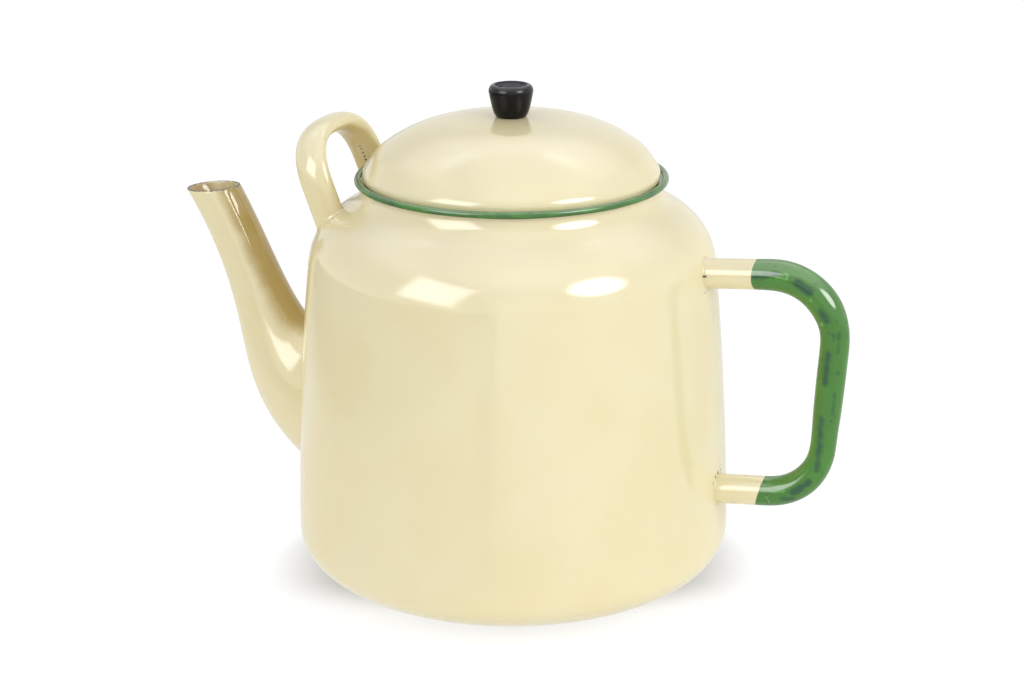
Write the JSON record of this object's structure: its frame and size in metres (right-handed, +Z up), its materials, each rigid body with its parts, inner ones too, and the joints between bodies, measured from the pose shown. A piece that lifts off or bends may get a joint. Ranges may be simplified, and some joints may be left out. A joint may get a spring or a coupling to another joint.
{
  "type": "teapot",
  "caption": "Large round enamelled steel teapot with an upright grip handle, a helper loop above the curved spout and a domed lift-off lid with a knob.",
  "frame": {"origin": "centre of the flat base, on the pot's upright axis, at the surface it stands on", "axes": "+Z up along the pot's axis, +X towards the grip handle, -X towards the spout, +Y completes a right-handed frame"},
  "size_m": [0.368, 0.23, 0.2682],
  "materials": {
    "cream_enamel": "glossy vitreous enamel on sheet steel",
    "green_enamel": "glossy vitreous enamel on sheet steel, mottled where it is thin",
    "black_moulding": "satin phenolic moulding",
    "plated_steel": "dull plating"
  },
  "bodies": {
    "pot": {"body_shell": "cream_enamel", "mouth_bead": "green_enamel", "spout": "cream_enamel", "handle": "green_enamel", "helper_handle": "cream_enamel"},
    "lid": {"lid_shell": "cream_enamel", "lid_collar": "cream_enamel", "knob": "black_moulding", "knob_washer": "plated_steel", "knob_screw": "plated_steel"}
  },
  "joints": [
    {"name": "lid_lift", "type": "slide", "parent": "pot", "child": "lid", "axis": [0, 0, 1], "range_m": [0, 0.06]}
  ]
}
